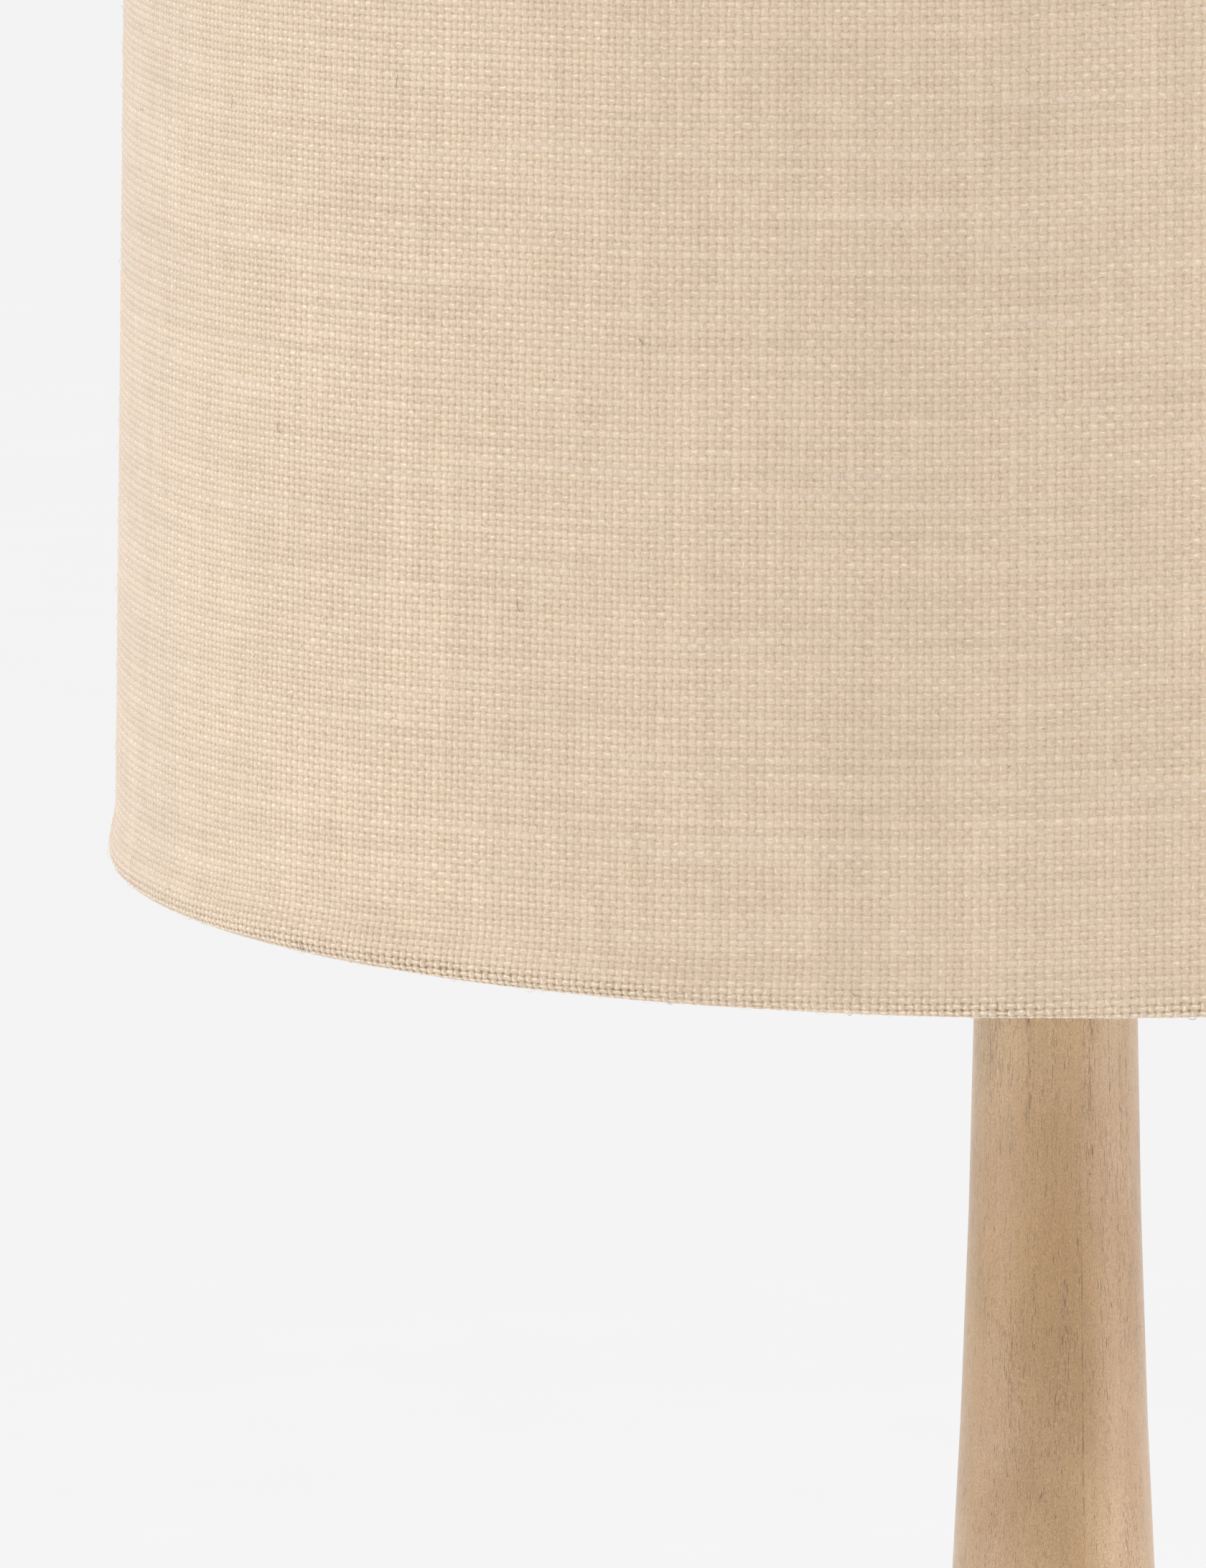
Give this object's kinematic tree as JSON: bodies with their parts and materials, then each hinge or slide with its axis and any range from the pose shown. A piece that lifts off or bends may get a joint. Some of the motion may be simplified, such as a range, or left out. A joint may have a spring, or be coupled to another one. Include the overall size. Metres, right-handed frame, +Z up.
{
  "type": "tripod floor lamp",
  "caption": "Floor lamp whose curved wooden legs merge into one round neck under a woven drum shade on a wire harp.",
  "frame": {"origin": "on the floor, on the axis of the neck and shade", "axes": "+Z up along the neck, -Y to the front, +X to the right seen from the front"},
  "size_m": [0.4686, 0.463, 1.5535],
  "materials": {
    "wood": "bleached pale wood, matt lacquer",
    "glue_dowel": "plain beech",
    "nylon": "smooth",
    "steel": "zinc plated",
    "nickel": "satin nickel",
    "brass": "bright",
    "black_plastic": "satin",
    "phenolic": "moulded",
    "card": "pressed card",
    "bulb_plastic": "satin",
    "bulb_globe": "frosted",
    "bulb_metal": "rolled thread",
    "white_wire": "powder coat",
    "shade_cloth": "coarse plain weave",
    "shade_liner": "matt film"
  },
  "bodies": {
    "stand": {"leg_right": "wood", "leg_rear": "wood", "leg_front": "wood", "glue_dowels": "glue_dowel", "foot_glides": "nylon", "glide_nails": "steel", "lamp_pipe": "steel", "pipe_washer": "steel", "pipe_locknut": "steel", "cord_bushing": "black_plastic", "neck_cap": "nickel", "harp_saddle": "nickel", "saddle_nut": "nickel", "socket_cap": "nickel", "socket_set_screw": "steel", "socket_shell": "nickel", "insulating_sleeve": "card", "socket_body": "phenolic", "screw_shell": "brass", "centre_contact": "brass"},
    "switch": {"switch_shaft": "brass", "switch_knob": "black_plastic"},
    "bulb": {"bulb_tip": "steel", "bulb_cap": "bulb_metal", "bulb_housing": "bulb_plastic", "bulb_globe": "bulb_globe"},
    "harp": {"harp": "nickel", "harp_stud": "nickel"},
    "sleeve_right": {"harp_sleeve_right": "nickel"},
    "sleeve_left": {"harp_sleeve_left": "nickel"},
    "shade": {"shade_spider": "white_wire", "shade_bottom_ring": "white_wire", "shade_liner": "shade_liner", "shade_fabric": "shade_cloth", "shade_seam": "shade_cloth", "shade_hem_bottom": "shade_cloth", "shade_hem_top": "shade_cloth"},
    "finial": {"finial": "nickel"}
  },
  "joints": [
    {"name": "switch_turn", "type": "hinge", "parent": "stand", "child": "switch", "pos_m": [0, -0.02, 1.313], "axis": [0, -1, 0], "continuous": true},
    {"name": "bulb_screw", "type": "hinge", "parent": "stand", "child": "bulb", "pos_m": [0, 0, 1.35], "axis": [0, 0, 1], "continuous": true},
    {"name": "sleeve_right_lift", "type": "slide", "parent": "stand", "child": "sleeve_right", "axis": [0, 0, 1], "range_m": [0, 0.014]},
    {"name": "sleeve_left_lift", "type": "slide", "parent": "stand", "child": "sleeve_left", "axis": [0, 0, 1], "range_m": [0, 0.014]},
    {"name": "harp_lift", "type": "slide", "parent": "stand", "child": "harp", "axis": [0, 0, 1], "range_m": [0, 0.03]},
    {"name": "shade_swivel", "type": "hinge", "parent": "harp", "child": "shade", "pos_m": [0, 0, 1.526], "axis": [0, 0, 1], "continuous": true},
    {"name": "finial_turn", "type": "hinge", "parent": "shade", "child": "finial", "pos_m": [0, 0, 1.53], "axis": [0, 0, 1], "continuous": true}
  ]
}
